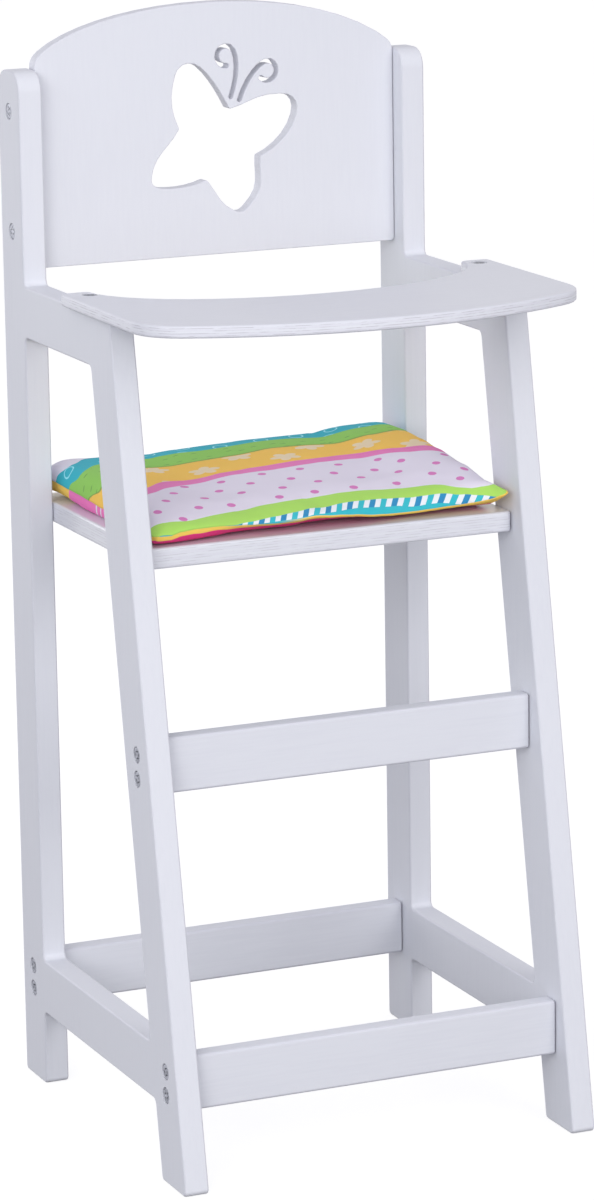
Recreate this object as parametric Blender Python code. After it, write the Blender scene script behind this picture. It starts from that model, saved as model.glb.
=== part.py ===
# Doll high chair, painted board, with a loose seat cushion
# Lengths are in metres, +Z is up and the chair faces -Y.
# Places along Y are counted from the rear face of the rear posts, which is the
# parent empty's place; the empty puts the middle of the footprint at the origin.

import math

import bmesh
import bpy
from mathutils import Matrix, Vector
from mathutils.geometry import interpolate_bezier

# Whole chair; some heights are shares of the whole height
overall_width = 0.2206
overall_height = 0.551
post_share = 0.9483         # top of the posts
arm_share = 0.7557          # top of the arms
seat_share = 0.55445        # top of the seat board
footrest_share = 0.3421     # lower edge of the footrest
joint_gap = 0.0003          # clearance between pieces that touch
cut_overrun = 0.002         # how far a cutter stands past the face it cuts

# Side frames, each routed in one piece from a board
frame_thickness = 0.0125
post_depth = 0.0295
post_top_radius = 0.010
leg_foot_reach = 0.2199     # front of the front foot, from the rear face
leg_rake_share = 0.1782     # how far the front leg leans back, as a share of its height
leg_depth = 0.0304          # front leg, measured along Y
frame_rail_height = 0.028
frame_rail_bottom = 0.0388
arm_height = 0.026
inside_radius = 0.003       # corners that the router leaves
foot_radius = 0.0025
arm_nose_radius = 0.003
frame_round_over = 0.0011

# Cross rails between the frames
rail_thickness = 0.010
rail_height = 0.0278
rail_edge_radius = 0.0015
rail_end_radius = 0.001
rear_rail_bottom = 0.040
front_rail_bottom = 0.0372
front_rail_setback = 0.0088  # rail's front face behind the leg's front face
footrest_setback = 0.0100

# Back panel
panel_thickness = 0.008
panel_above_arm = 0.0068
panel_arch_rise = 0.0258    # from the end of the straight sides to the top
panel_setback = 0.0105      # front face of the panel behind the posts' front
panel_round_over = 0.0005
panel_corner_radius = 0.002
panel_shoulder_radius = 0.008

# Butterfly cut-out; its curves are shares of its half span
butterfly_span_share = 0.2817   # its half span as a share of the panel's height
butterfly_centre_share = 0.428  # its centre above the panel's lower edge, likewise
butterfly_centre_x = 0.0008
butterfly_tilt = math.radians(-21)
butterfly_notch_radius = 0.0012
antenna_slot_width = 0.0024
antenna_hook_share = 0.139      # the hook's radius as a share of the half span

# Seat board
seat_thickness = 0.0104
seat_setback = 0.0109       # seat's front edge behind the leg's front face
seat_rear = 0.004
seat_round_over = 0.0013
seat_corner_radius = 0.0025

# Tray
tray_thickness = 0.006
tray_overhang = 0.0045      # past the outer face of each frame
tray_sideways = -0.0014     # it is screwed on a little to the left
tray_front = 0.2375
tray_front_radius = 0.219
tray_corner_radius = 0.028
tray_rear = 0.096
tray_ear_width = 0.0153
tray_ear_radius = 0.003
tray_bay_depth = 0.060      # hollow in the rear edge for the doll's body
tray_round_over = 0.0012

# Countersunk wood screws
screw_head_radius = 0.004
screw_shank_radius = 0.002
screw_length = 0.035
screw_rim = 0.0004
screw_tip = 0.004
screw_sink = 0.0003         # head below the face
rail_screw_pitch = 0.0120
panel_screw_low_share = 0.1863  # up the panel's straight sides
panel_screw_high_share = 0.7745
tray_screw_length = 0.022
tray_screw_from_rear = 0.010

# Dowels that hold the seat board between the frames
dowel_radius = 0.003
dowel_length = 0.023
dowel_chamfer = 0.0006
dowel_in_frame = 0.0085

# Seat cushion
cushion_side_gap = 0.0028   # between the cushion and each frame
cushion_overhang = 0.0065   # past the seat's front edge
cushion_rear = 0.005
cushion_height = 0.0225
cushion_seam_height = 0.0065
cushion_draw_in = 0.004
cushion_corner_radius = 0.010
cushion_fullness = 5        # how steeply the top rises behind the seam
cushion_crown_share = 0.16  # of the swell, left to the middle alone
cushion_underside_power = 9  # how close to the seam the flat underside turns up

# Steps of round forms
crease_angle = math.radians(35)
merge_distance = 0.00003
corner_steps = 3
wide_corner_steps = 6       # on a radius of wide_corner or more
wide_corner = 0.008
round_over_steps = 3
wing_steps = 5
antenna_stem_steps = 6
antenna_hook_steps = 9
slot_end_steps = 4
arch_steps = 10              # in each half of the panel's arch
tray_front_steps = 16
tray_bay_steps = 22
turned_sides = 12
cushion_columns = 26
cushion_rows = 22

# Derived places
post_top = overall_height * post_share
arm_top = overall_height * arm_share
seat_top = overall_height * seat_share
footrest_bottom = overall_height * footrest_share
panel_bottom = arm_top + panel_above_arm
panel_shoulder = overall_height - panel_arch_rise
panel_height = overall_height - panel_bottom
butterfly_half_span = panel_height * butterfly_span_share
butterfly_centre_height = panel_bottom + panel_height * butterfly_centre_share
antenna_hook_radius = butterfly_half_span * antenna_hook_share
half_inner = overall_width / 2 - frame_thickness
tray_half_width = overall_width / 2 + tray_overhang
rail_length = 2 * (half_inner - joint_gap)
side_names = {-1: "left", 1: "right"}


def clear_scene():
    for old in list(bpy.data.objects):
        bpy.data.objects.remove(old, do_unlink=True)


def make_material(name, colour, roughness, metallic=0.0):
    material = bpy.data.materials.new(name)
    material.use_nodes = True
    shader = material.node_tree.nodes["Principled BSDF"]
    shader.inputs["Base Color"].default_value = (*colour, 1.0)
    shader.inputs["Roughness"].default_value = roughness
    shader.inputs["Metallic"].default_value = metallic
    return material


def white_paint():
    return make_material("white_paint", (0.80, 0.81, 0.86), 0.42)


def painted_plywood():
    return make_material("painted_plywood", (0.76, 0.78, 0.84), 0.45)


def zinc():
    return make_material("zinc", (0.62, 0.63, 0.66), 0.32, 1.0)


def beech():
    return make_material("beech", (0.63, 0.44, 0.27), 0.6)


def printed_cotton():
    return make_material("printed_cotton", (0.55, 0.74, 0.30), 0.85)


# Outlines: a closed list of (u, v, radius) corners with the material on the left

def left_normal(direction):
    return Vector((-direction.y, direction.x))


def inset_loop(corners, inset):
    """Points of an outline moved by inset into the material, its corners rounded."""
    points = []
    count = len(corners)
    for index, (u, v, radius) in enumerate(corners):
        here = Vector((u, v))
        before = Vector(corners[index - 1][:2])
        after = Vector(corners[(index + 1) % count][:2])
        going_in = (here - before).normalized()
        going_out = (after - here).normalized()
        normal_in = left_normal(going_in)
        normal_out = left_normal(going_out)
        shift = (normal_in + normal_out) / (1 + normal_in.dot(normal_out))
        corner = here + shift * inset
        if not radius:
            points.append(corner)
            continue
        turn = going_in.angle_signed(going_out) * -1
        side = math.copysign(1, turn)
        arc_radius = radius - side * inset
        start = corner - going_in * arc_radius * math.tan(abs(turn) / 2)
        centre = start + normal_in * side * arc_radius
        steps = wide_corner_steps if radius >= wide_corner else corner_steps
        for step in range(steps + 1):
            spoke = start - centre
            spoke.rotate(Matrix.Rotation(turn * step / steps, 2))
            points.append(centre + spoke)
    return points


def round_over_levels(thickness, radius):
    """(depth, inset) of each ring from one face of a board to the other."""
    half = thickness / 2
    if not radius:
        return [(-half, 0), (half, 0)]
    edge = []
    for step in range(round_over_steps + 1):
        angle = math.pi / 2 * step / round_over_steps
        depth = half - radius + radius * math.sin(angle)
        edge.append((depth, radius - radius * math.cos(angle)))
    return [(-depth, inset) for depth, inset in reversed(edge)] + edge


def board_mesh(name, loops, thickness, round_over):
    """A flat board: outlines extruded through its thickness, long edges rounded."""
    shape = bmesh.new()
    levels = round_over_levels(thickness, round_over)
    caps = {0: [], len(levels) - 1: []}
    for corners in loops:
        rings = []
        for depth, inset in levels:
            rings.append([shape.verts.new((p.x, p.y, depth)) for p in inset_loop(corners, inset)])
        for low, high in zip(rings, rings[1:]):
            for index in range(len(low)):
                shape.faces.new((low[index - 1], low[index], high[index], high[index - 1]))
        for level, edges in caps.items():
            ring = rings[level]
            edges += [shape.edges.get((ring[i - 1], ring[i])) for i in range(len(ring))]
    for edges in caps.values():
        bmesh.ops.triangle_fill(shape, use_beauty=True, edges=edges)
    return finished_mesh(name, shape)


def finished_mesh(name, shape):
    """A mesh from the bmesh, faces out, round forms smooth and edges crisp."""
    bmesh.ops.recalc_face_normals(shape, faces=shape.faces)
    mesh = bpy.data.meshes.new(name)
    shape.to_mesh(mesh)
    shape.free()
    mesh.shade_smooth()
    mesh.set_sharp_from_angle(angle=crease_angle)
    return mesh


# Axes of a board: its outline's u and v, and its thickness w
upright_sideways = Matrix(((0, 0, 1), (1, 0, 0), (0, 1, 0)))    # u along Y, v up, w along X
upright_facing = Matrix(((1, 0, 0), (0, 0, -1), (0, 1, 0)))     # u along X, v up, w along -Y
lying = Matrix.Identity(3)                                      # u along X, v along Y, w up


def place_object(name, mesh, material, parent, axes=lying, place=(0, 0, 0)):
    item = bpy.data.objects.new(name, mesh)
    bpy.context.scene.collection.objects.link(item)
    if material and not mesh.materials:
        mesh.materials.append(material)
    item.parent = parent
    item.location = place
    item.rotation_euler = axes.to_euler()
    return item


def cut(item, cutter):
    modifier = item.modifiers.new("cut_" + cutter.name, "BOOLEAN")
    modifier.operation = "DIFFERENCE"
    modifier.solver = "EXACT"
    modifier.object = cutter


def shade_flat_faces(item):
    """Keeps the boards' broad faces evenly lit beside their rounded edges."""
    modifier = item.modifiers.new("face_normals", "WEIGHTED_NORMAL")
    modifier.keep_sharp = True


def make_cutter(name, mesh, parent, axes=lying, place=(0, 0, 0)):
    cutter = place_object(name, mesh, None, parent, axes, place)
    cutter.hide_render = True
    cutter.display_type = "WIRE"
    return cutter


def turned_mesh(name, profile):
    """A solid turned about +Z; the profile is (radius, distance along the axis)."""
    shape = bmesh.new()
    points = [shape.verts.new((radius, 0, along)) for radius, along in profile]
    edges = [shape.edges.new(pair) for pair in zip(points, points[1:])]
    bmesh.ops.spin(shape, geom=points + edges, axis=(0, 0, 1), cent=(0, 0, 0),
                   angle=2 * math.pi, steps=turned_sides, use_merge=True)
    bmesh.ops.remove_doubles(shape, verts=shape.verts, dist=merge_distance)
    return finished_mesh(name, shape)


# Side frames

def leg_front(height):
    return -leg_foot_reach + leg_rake_share * height


def leg_rear(height):
    return leg_front(height) + leg_depth


def frame_outline():
    """Outer outline of a side frame: rear post, arm, raked front leg and low rail."""
    return [
        (0, 0, foot_radius),
        (0, post_top, post_top_radius),
        (-post_depth, post_top, post_top_radius),
        (-post_depth, arm_top, inside_radius),
        (leg_front(arm_top), arm_top, arm_nose_radius),
        (leg_front(0), 0, foot_radius),
        (leg_rear(0), 0, foot_radius),
        (leg_rear(frame_rail_bottom), frame_rail_bottom, inside_radius),
        (-post_depth, frame_rail_bottom, inside_radius),
        (-post_depth, 0, foot_radius),
    ]


def frame_window():
    """The tall opening between post and leg."""
    low = frame_rail_bottom + frame_rail_height
    high = arm_top - arm_height
    return [
        (-post_depth, low, inside_radius),
        (leg_rear(low), low, inside_radius),
        (leg_rear(high), high, inside_radius),
        (-post_depth, high, inside_radius),
    ]


def make_side_frame(side, material, parent):
    name = side_names[side] + "_side_frame"
    mesh = board_mesh(name, [frame_outline(), frame_window()], frame_thickness, frame_round_over)
    across = side * (overall_width - frame_thickness) / 2
    return place_object(name, mesh, material, parent, upright_sideways, (across, 0, 0))


# Cross rails

def section_corners(front, rear, bottom, top, radius):
    """Rectangular outline between two Y places and two heights."""
    return [
        (-rear, bottom, radius),
        (-rear, top, radius),
        (-front, top, radius),
        (-front, bottom, radius),
    ]


def make_rail(name, front, bottom, material, parent):
    """A rail with rounded long edges between the two frames; front is its front face."""
    outline = section_corners(front, front - rail_thickness, bottom, bottom + rail_height,
                              rail_edge_radius)
    mesh = board_mesh(name, [outline], rail_length, rail_end_radius)
    return place_object(name, mesh, material, parent, upright_sideways)


def front_rail_front():
    middle = front_rail_bottom + rail_height / 2
    return -leg_front(middle) - front_rail_setback


def footrest_front():
    middle = footrest_bottom + rail_height / 2
    return -leg_front(middle) - footrest_setback


def rear_rail_front():
    return (post_depth + rail_thickness) / 2


# Back panel with its butterfly

# The four wings, clockwise from the upper notch: two handles and a knot for each
# curve, three curves a wing, as shares of the butterfly's half span
upper_notch_share = (-0.03, 0.54)
wing_curve_shares = [
    [(0.22, 0.70), (0.29, 0.87), (0.63, 0.98)],
    [(0.82, 1.05), (0.96, 0.97), (0.97, 0.77)],
    [(0.99, 0.53), (0.85, 0.24), (0.64, 0.06)],
    [(0.70, -0.16), (0.85, -0.30), (0.77, -0.53)],
    [(0.70, -0.71), (0.69, -0.79), (0.53, -0.78)],
    [(0.25, -0.75), (0.21, -0.62), (-0.02, -0.50)],
    [(-0.20, -0.66), (-0.40, -0.75), (-0.61, -0.81)],
    [(-0.81, -0.86), (-0.83, -0.77), (-0.84, -0.58)],
    [(-0.85, -0.36), (-0.69, -0.18), (-0.66, 0.05)],
    [(-0.89, 0.27), (-0.95, 0.45), (-0.97, 0.72)],
    [(-0.99, 0.90), (-0.83, 1.01), (-0.66, 0.96)],
    [(-0.43, 0.88), (-0.23, 0.72), upper_notch_share],
]
curves_per_wing = 3
# Stem of an antenna, as shares of the half span: start, two handles, end
antenna_stem_shares = [(0.07, 0.71), (0.06, 0.98), (0.17, 1.364), (0.333, 1.364)]
antenna_hook_sweep = math.radians(205)


def butterfly_place(u, v):
    """A point of the upright butterfly, turned and moved to its place on the panel."""
    point = Vector((u, v))
    point.rotate(Matrix.Rotation(butterfly_tilt, 2))
    return point + Vector((butterfly_centre_x, butterfly_centre_height))


def scaled_shares(pair):
    return Vector(pair) * butterfly_half_span


def butterfly_outline():
    """Clockwise, so the panel's material is on the left; the notches between the
    wings keep the cutter's radius."""
    corners = []
    start = upper_notch_share
    for index, (leaving, arriving, end) in enumerate(wing_curve_shares):
        handles = [scaled_shares(pair) for pair in (start, leaving, arriving, end)]
        for step, point in enumerate(interpolate_bezier(*handles, wing_steps + 1)[:-1]):
            place = butterfly_place(point.x, point.y)
            at_notch = step == 0 and index % curves_per_wing == 0
            corners.append((place.x, place.y, butterfly_notch_radius if at_notch else 0))
        start = end
    return corners


def antenna_line(side):
    """Centre line of an antenna: a bowed stem that ends in a hook."""
    handles = [scaled_shares(pair) for pair in antenna_stem_shares]
    stem = interpolate_bezier(*handles, antenna_stem_steps + 1)
    top = stem[-1]
    centre = Vector((top.x, top.y - antenna_hook_radius))
    line = [(p.x, p.y) for p in stem[:-1]]
    for step in range(antenna_hook_steps + 1):
        angle = math.pi / 2 - antenna_hook_sweep * step / antenna_hook_steps
        line.append((centre.x + antenna_hook_radius * math.cos(angle),
                     centre.y + antenna_hook_radius * math.sin(angle)))
    return [Vector((side * u, v)) for u, v in line]


def slot_end(centre, start):
    """Points of a slot's rounded end, between its two sides."""
    points = []
    for step in range(1, slot_end_steps):
        spoke = start - centre
        spoke.rotate(Matrix.Rotation(math.pi * step / slot_end_steps, 2))
        points.append(centre + spoke)
    return points


def antenna_outline(side):
    """A slot of even width round an antenna's line, clockwise like the wings."""
    line = [butterfly_place(point.x, point.y) for point in antenna_line(side)]
    left, right = [], []
    for index, point in enumerate(line):
        before = line[max(index - 1, 0)]
        after = line[min(index + 1, len(line) - 1)]
        normal = left_normal((after - before).normalized())
        left.append(point + normal * antenna_slot_width / 2)
        right.append(point - normal * antenna_slot_width / 2)
    outline = right + slot_end(line[-1], right[-1]) + left[::-1] + slot_end(line[0], left[0])
    return [(point.x, point.y, 0) for point in reversed(outline)]


# The arched top, as shares of half the panel's width and of the arch's rise: left end,
# two handles, crown, two handles, right end
arch_shares = [(-1, 0.06), (-0.878, 0.593), (-0.48, 1), (-0.02, 1), (0.225, 1), (0.715, 0.88), (1, 0)]


def panel_outline():
    """Straight foot and sides, and an arched top in two curves that meet at its crown."""
    half = half_inner - joint_gap
    knots = [Vector((half * u, panel_shoulder + panel_arch_rise * v)) for u, v in arch_shares]
    left = interpolate_bezier(*knots[:4], arch_steps + 1)
    right = interpolate_bezier(*knots[3:], arch_steps + 1)
    arch = [*left, *right[1:]]
    corners = [(-half, panel_bottom, panel_corner_radius), (half, panel_bottom, panel_corner_radius)]
    for point in reversed(arch):
        at_end = point in (arch[0], arch[-1])
        corners.append((point.x, point.y, panel_shoulder_radius if at_end else 0))
    return corners


def panel_centre_y():
    return -post_depth + panel_setback + panel_thickness / 2


def make_back_panel(material, parent):
    outlines = [panel_outline(), butterfly_outline(), antenna_outline(-1), antenna_outline(1)]
    mesh = board_mesh("back_panel", outlines, panel_thickness, panel_round_over)
    return place_object("back_panel", mesh, material, parent, upright_facing,
                        (0, panel_centre_y(), 0))


# Seat board

def seat_middle_height():
    return seat_top - seat_thickness / 2


def seat_front():
    return -leg_front(seat_middle_height()) - seat_setback


def make_seat_board(material, parent):
    half = half_inner - joint_gap
    front = seat_front()
    outline = [(-half, -front, seat_corner_radius), (half, -front, seat_corner_radius),
               (half, -seat_rear, seat_corner_radius), (-half, -seat_rear, seat_corner_radius)]
    mesh = board_mesh("seat_board", [outline], seat_thickness, seat_round_over)
    return place_object("seat_board", mesh, material, parent, lying,
                        (0, 0, seat_middle_height()))


# Tray

def arc_points(centre, radius, start, end, steps):
    """Sharp outline corners along an arc, both ends included."""
    points = []
    for step in range(steps + 1):
        angle = start + (end - start) * step / steps
        points.append((centre[0] + radius * math.cos(angle),
                       centre[1] + radius * math.sin(angle), 0))
    return points


def tray_outline():
    """Bowed front with wide corners, straight sides, and a half-oval bay behind."""
    bow_centre = -tray_front + tray_front_radius
    # each corner arc touches the side and, from within, the bow
    corner_x = tray_half_width - tray_corner_radius
    corner_y = bow_centre - math.sqrt((tray_front_radius - tray_corner_radius) ** 2 - corner_x ** 2)
    turn = math.atan2(bow_centre - corner_y, corner_x)
    corners = arc_points((-corner_x, corner_y), tray_corner_radius, -math.pi, turn - math.pi,
                         wide_corner_steps)
    corners += arc_points((0, bow_centre), tray_front_radius, turn - math.pi, -turn,
                          tray_front_steps)[1:-1]
    corners += arc_points((corner_x, corner_y), tray_corner_radius, -turn, 0, wide_corner_steps)
    bay_half = tray_half_width - tray_ear_width
    corners.append((tray_half_width, -tray_rear, tray_ear_radius))
    corners.append((bay_half, -tray_rear, tray_ear_radius))
    for step in range(1, tray_bay_steps):
        angle = math.pi * step / tray_bay_steps
        corners.append((bay_half * math.cos(angle),
                        -tray_rear - tray_bay_depth * math.sin(angle), 0))
    corners.append((-bay_half, -tray_rear, tray_ear_radius))
    corners.append((-tray_half_width, -tray_rear, tray_ear_radius))
    return corners


def tray_middle_height():
    return arm_top + joint_gap + tray_thickness / 2


def make_tray(material, parent):
    mesh = board_mesh("tray", [tray_outline()], tray_thickness, tray_round_over)
    return place_object("tray", mesh, material, parent, lying,
                        (tray_sideways, 0, tray_middle_height()))


# Screws and their holes

def screw_profile(length):
    """Countersunk head, shank and point, the head's face at zero."""
    cone = screw_head_radius - screw_shank_radius
    return [(0, 0), (screw_head_radius, 0), (screw_head_radius, screw_rim),
            (screw_shank_radius, screw_rim + cone), (screw_shank_radius, length - screw_tip),
            (0, length)]


def screw_hole_profile(length):
    """The screw's own form with clearance, open past the face that it is driven from."""
    head = screw_head_radius + joint_gap
    shank = screw_shank_radius + joint_gap
    cone = head - shank
    mouth = -screw_sink - cut_overrun
    return [(0, mouth), (head, mouth), (head, screw_rim + joint_gap),
            (shank, screw_rim + joint_gap + cone), (shank, length + joint_gap),
            (0, length + joint_gap)]


def inward_axes(side):
    """Turns +Z to run inwards from the frame on this side."""
    return Matrix.Rotation(-side * math.pi / 2, 3, "Y")


def rail_screw_heights(bottom):
    middle = bottom + rail_height / 2
    return {"lower": middle - rail_screw_pitch / 2, "upper": middle + rail_screw_pitch / 2}


def panel_screw_heights():
    side_height = panel_shoulder - panel_bottom
    return {"lower": panel_bottom + side_height * panel_screw_low_share,
            "upper": panel_bottom + side_height * panel_screw_high_share}


def screw_joints():
    """Each screwed cross piece with its screws' place along Y and their heights."""
    half_rail = rail_thickness / 2
    return {
        "back_panel": (panel_centre_y(), panel_screw_heights()),
        "rear_rail": (half_rail - rear_rail_front(), rail_screw_heights(rear_rail_bottom)),
        "front_rail": (half_rail - front_rail_front(), rail_screw_heights(front_rail_bottom)),
        "footrest_rail": (half_rail - footrest_front(), rail_screw_heights(footrest_bottom)),
    }


def fasten(name, mesh, hole_mesh, material, parent, axes, place, cut_items):
    """A turned fastener in its place, and its hole through the pieces that it holds."""
    place_object(name, mesh, material, parent, axes, place)
    cutter = make_cutter(name + "_hole", hole_mesh, parent, axes, place)
    for item in cut_items:
        cut(item, cutter)


def add_side_screws(pieces, frames, material, parent):
    """Two screws through each frame into each end of a cross piece."""
    screw = turned_mesh("side_screw", screw_profile(screw_length))
    hole = turned_mesh("side_screw_hole", screw_hole_profile(screw_length))
    for joint, (depth_place, heights) in screw_joints().items():
        for level, height in heights.items():
            for side, frame in frames.items():
                name = "_".join((side_names[side], joint, "screw", level))
                place = (side * (overall_width / 2 - screw_sink), depth_place, height)
                fasten(name, screw, hole, material, parent, inward_axes(side), place,
                       (frame, pieces[joint]))


def add_tray_screws(tray, frames, material, parent):
    """One screw through each ear of the tray into the arm below it."""
    screw = turned_mesh("tray_screw", screw_profile(tray_screw_length))
    hole = turned_mesh("tray_screw_hole", screw_hole_profile(tray_screw_length))
    down = Matrix.Rotation(math.pi, 3, "X")
    height = tray_middle_height() + tray_thickness / 2 - screw_sink
    for side, frame in frames.items():
        place = (side * (overall_width - frame_thickness) / 2,
                 -tray_rear - tray_screw_from_rear, height)
        fasten(side_names[side] + "_tray_screw", screw, hole, material, parent, down, place,
               (tray, frame))


# Seat dowels

def dowel_profile():
    return [(0, 0), (dowel_radius - dowel_chamfer, 0), (dowel_radius, dowel_chamfer),
            (dowel_radius, dowel_length - dowel_chamfer),
            (dowel_radius - dowel_chamfer, dowel_length), (0, dowel_length)]


def dowel_hole_profile():
    radius = dowel_radius + joint_gap
    return [(0, -joint_gap), (radius, -joint_gap), (radius, dowel_length + joint_gap),
            (0, dowel_length + joint_gap)]


def add_seat_dowels(seat, frames, material, parent):
    """A dowel from each post and each leg into the seat board's edge."""
    dowel = turned_mesh("seat_dowel", dowel_profile())
    hole = turned_mesh("seat_dowel_hole", dowel_hole_profile())
    height = seat_middle_height()
    places = {"rear": (-seat_rear - post_depth) / 2,
              "front": (-seat_front() + leg_rear(height)) / 2}
    for end, depth_place in places.items():
        for side, frame in frames.items():
            name = "_".join((side_names[side], end, "seat_dowel"))
            place = (side * (half_inner + dowel_in_frame), depth_place, height)
            fasten(name, dowel, hole, material, parent, inward_axes(side), place, (seat, frame))


# Seat cushion

def cushion_plan(u, v):
    """Plan of the cushion for u and v from -1 to 1: rounded corners, sides drawn in."""
    cushion_half_width = half_inner - cushion_side_gap
    cushion_front = seat_front() + cushion_overhang
    half_depth = (cushion_front - cushion_rear) / 2
    x = cushion_half_width * u
    y = half_depth * v
    # a square grid pulled onto a rectangle with rounded corners
    inner_x = cushion_half_width - cushion_corner_radius
    inner_y = half_depth - cushion_corner_radius
    over_x = max(abs(x) - inner_x, 0)
    over_y = max(abs(y) - inner_y, 0)
    reach = math.hypot(over_x, over_y)
    longest = max(over_x, over_y)
    if reach > 0:
        x = math.copysign(min(abs(x), inner_x) + over_x * longest / reach, u)
        y = math.copysign(min(abs(y), inner_y) + over_y * longest / reach, v)
    x -= math.copysign(cushion_draw_in * (1 - v * v) * abs(u) ** 3, u)
    y -= math.copysign(cushion_draw_in * (1 - u * u) * abs(v) ** 3, v)
    return x, y - (cushion_front + cushion_rear) / 2


def cushion_swell(u, v):
    """0 at the seam to 1 over the plump middle."""
    edge = (1 - abs(u) ** cushion_fullness) * (1 - abs(v) ** cushion_fullness)
    middle = (1 - u * u) * (1 - v * v)
    return math.sqrt(max(edge, 0)) * (1 - cushion_crown_share + cushion_crown_share * middle)


def cushion_lift(u, v):
    """0 on the flat underside to 1 at the seam."""
    return max(abs(u), abs(v)) ** cushion_underside_power


def make_cushion(material, parent):
    """A knife-edge pad: crowned top and soft underside that meet in a seam all round."""
    shape = bmesh.new()
    columns, rows = cushion_columns, cushion_rows
    top, bottom = {}, {}
    for row in range(rows + 1):
        for column in range(columns + 1):
            # closer rows near the seam, where the form turns
            u = math.sin(math.pi / 2 * (2 * column / columns - 1))
            v = math.sin(math.pi / 2 * (2 * row / rows - 1))
            x, y = cushion_plan(u, v)
            rest = seat_top + joint_gap
            seam = rest + cushion_seam_height
            high = seam + (cushion_height - cushion_seam_height) * cushion_swell(u, v)
            top[column, row] = shape.verts.new((x, y, high))
            if column in (0, columns) or row in (0, rows):
                bottom[column, row] = top[column, row]
            else:
                low = rest + cushion_seam_height * cushion_lift(u, v)
                bottom[column, row] = shape.verts.new((x, y, low))
    for row in range(rows):
        for column in range(columns):
            corners = [(column, row), (column + 1, row), (column + 1, row + 1), (column, row + 1)]
            shape.faces.new([top[corner] for corner in corners])
            shape.faces.new([bottom[corner] for corner in reversed(corners)])
    return place_object("seat_cushion", finished_mesh("seat_cushion", shape), material, parent)


def build_chair():
    clear_scene()
    parent = bpy.data.objects.new("doll_chair", None)
    bpy.context.scene.collection.objects.link(parent)
    parent.location = (0, tray_front / 2, 0)

    paint = white_paint()
    plywood = painted_plywood()
    screws = zinc()
    frames = {side: make_side_frame(side, paint, parent) for side in side_names}
    pieces = {
        "back_panel": make_back_panel(plywood, parent),
        "rear_rail": make_rail("rear_rail", rear_rail_front(), rear_rail_bottom, paint, parent),
        "front_rail": make_rail("front_rail", front_rail_front(), front_rail_bottom, paint, parent),
        "footrest_rail": make_rail("footrest_rail", footrest_front(), footrest_bottom, paint,
                                   parent),
    }
    seat = make_seat_board(plywood, parent)
    tray = make_tray(plywood, parent)
    add_side_screws(pieces, frames, screws, parent)
    add_tray_screws(tray, frames, screws, parent)
    add_seat_dowels(seat, frames, beech(), parent)
    for board in [seat, tray, *frames.values(), *pieces.values()]:
        shade_flat_faces(board)
    make_cushion(printed_cotton(), parent)
    bpy.context.view_layer.update()


build_chair()
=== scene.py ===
import math
from itertools import accumulate

import bmesh
import bpy
import numpy as np
from mathutils import Matrix, Vector, noise


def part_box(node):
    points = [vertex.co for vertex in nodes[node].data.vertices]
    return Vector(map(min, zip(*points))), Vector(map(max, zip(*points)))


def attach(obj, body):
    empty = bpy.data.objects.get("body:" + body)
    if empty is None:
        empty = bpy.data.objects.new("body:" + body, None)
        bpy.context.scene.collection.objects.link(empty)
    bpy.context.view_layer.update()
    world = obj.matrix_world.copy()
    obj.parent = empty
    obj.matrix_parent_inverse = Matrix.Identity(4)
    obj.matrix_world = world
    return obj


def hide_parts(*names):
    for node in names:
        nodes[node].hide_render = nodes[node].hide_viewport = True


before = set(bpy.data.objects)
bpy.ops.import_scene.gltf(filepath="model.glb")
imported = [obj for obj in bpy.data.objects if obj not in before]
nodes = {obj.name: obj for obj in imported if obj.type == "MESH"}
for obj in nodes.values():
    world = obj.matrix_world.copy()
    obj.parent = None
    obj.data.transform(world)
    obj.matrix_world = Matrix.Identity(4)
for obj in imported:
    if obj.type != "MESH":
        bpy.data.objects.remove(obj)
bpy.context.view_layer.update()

mm = 0.001
print("frame:", len(nodes), "nodes")


# Small helpers for shader and geometry trees

def srgb(red, green, blue):  # 0 to 255 as on screen, to the shader's linear colour
    def linear(value):
        value /= 255
        return value / 12.92 if value <= 0.04045 else ((value + 0.055) / 1.055) ** 2.4
    return (linear(red), linear(green), linear(blue), 1.0)


def feed(socket, value):
    if isinstance(value, bpy.types.NodeSocket):
        socket.id_data.links.new(value, socket)
    elif value is not None:
        socket.default_value = value


def feedAll(sockets, values):
    for label, value in values.items():
        feed(sockets[label], value)


def add(kind, values=(), tree=None, **settings):
    # inputs go by label or in their order; the tree is the one that the given sockets are in
    if not isinstance(values, dict):
        values = dict(enumerate(values))
    if tree is None:
        tree = [value for value in values.values() if isinstance(value, bpy.types.NodeSocket)][0].id_data
    node = tree.nodes.new(kind)
    for name, value in settings.items():
        setattr(node, name, value)
    feedAll(node.inputs, values)
    return node.outputs


def calc(operation, *values):
    return add("ShaderNodeMath", values, operation=operation)[0]


def vectorCalc(operation, *vectors):
    return add("ShaderNodeVectorMath", vectors, operation=operation)[0]


def chain(operation, result, *more):
    for value in more:
        result = calc(operation, result, value)
    return result


def times(*values):
    return chain("MULTIPLY", *values)


def plus(*values):
    return chain("ADD", *values)


def minus(*values):
    return chain("SUBTRACT", *values)


def weighted(*parts):  # the sum of each value times its weight
    return plus(*[times(*part) for part in parts])


def sizeOf(value):
    return calc("ABSOLUTE", value)


def tinted(under, over, *masks):  # the second colour laid over the first by all the masks
    return add("ShaderNodeMix", {0: times(*masks), 6: under, 7: over}, data_type="RGBA")[2]


def ramp(*values):  # value, low, high and, where it isn't 0 to 1, the result's low and high
    return add("ShaderNodeMapRange", values, interpolation_type="SMOOTHSTEP")[0]


def noiseAt(vector, scale, detail=3.0, rough=0.55):
    return add("ShaderNodeTexNoise", {"Vector": vector, "Scale": scale, "Detail": detail,
                                      "Roughness": rough})["Fac"]


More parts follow.
